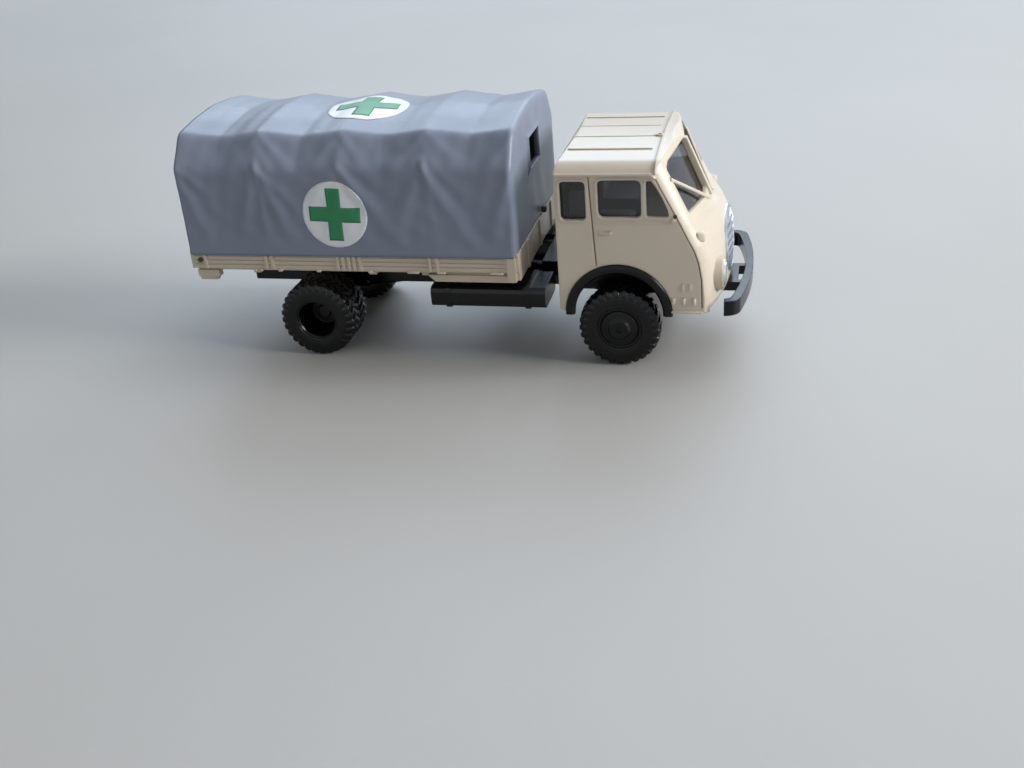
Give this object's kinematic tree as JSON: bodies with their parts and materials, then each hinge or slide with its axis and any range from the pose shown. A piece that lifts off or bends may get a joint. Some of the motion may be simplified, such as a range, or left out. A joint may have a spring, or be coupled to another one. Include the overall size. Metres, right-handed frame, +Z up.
{
  "type": "toy military ambulance truck",
  "caption": "Small scale model of a forward control army ambulance truck with a covered load bed, hollow cab and rolling wheels.",
  "frame": {"origin": "under the middle of the whole truck, on the ground", "axes": "+X forward along the truck, +Y to its left, +Z up"},
  "size_m": [0.0761, 0.0278, 0.0325],
  "materials": {
    "body_cream": "satin moulded plastic",
    "tilt_grey": "satin moulded plastic with a canvas shape",
    "chassis_black": "semi-gloss moulded plastic",
    "tyre_black": "semi-gloss moulded plastic",
    "clear_glazing": "clear polished plastic",
    "grille_silver": "silver painted plastic",
    "lamp_clear": "polished plastic",
    "seat_grey": "matt moulded plastic"
  },
  "bodies": {
    "truck": {"chassis_frame": "chassis_black", "front_bumper": "chassis_black", "front_axle_housing": "chassis_black", "rear_axle_housing": "chassis_black", "front_springs": "chassis_black", "rear_springs": "chassis_black", "engine_and_gearbox": "chassis_black", "transfer_case": "chassis_black", "drive_shafts": "chassis_black", "side_tank_right": "chassis_black", "side_box_left": "chassis_black", "tow_hitch": "chassis_black", "bed_floor": "body_cream", "bed_side_left": "body_cream", "bed_side_right": "body_cream", "tailgate": "body_cream", "headboard": "body_cream", "lower_rails": "body_cream", "rear_lamp_brackets": "body_cream", "canvas_tilt": "tilt_grey", "cab_body": "body_cream", "cab_glazing": "clear_glazing", "cab_floor": "body_cream", "seats": "seat_grey", "steering_wheel": "chassis_black", "front_mudguards": "chassis_black", "front_grille": "grille_silver", "headlamps": "lamp_clear"},
    "front_wheels": {"front_axle_shaft": "chassis_black", "front_rim_left": "chassis_black", "front_rim_right": "chassis_black", "front_tyre_left": "tyre_black", "front_tyre_right": "tyre_black"},
    "rear_wheels": {"rear_axle_shaft": "chassis_black", "rear_rim_left": "chassis_black", "rear_rim_right": "chassis_black", "rear_inner_tyre_left": "tyre_black", "rear_inner_tyre_right": "tyre_black", "rear_outer_tyre_left": "tyre_black", "rear_outer_tyre_right": "tyre_black"}
  },
  "joints": [
    {"name": "front_wheels_roll", "type": "hinge", "parent": "truck", "child": "front_wheels", "pos_m": [0.02145, 0, 0.0054], "axis": [0, 1, 0], "continuous": true},
    {"name": "rear_wheels_roll", "type": "hinge", "parent": "truck", "child": "rear_wheels", "pos_m": [-0.02105, 0, 0.0054], "axis": [0, 1, 0], "continuous": true}
  ]
}
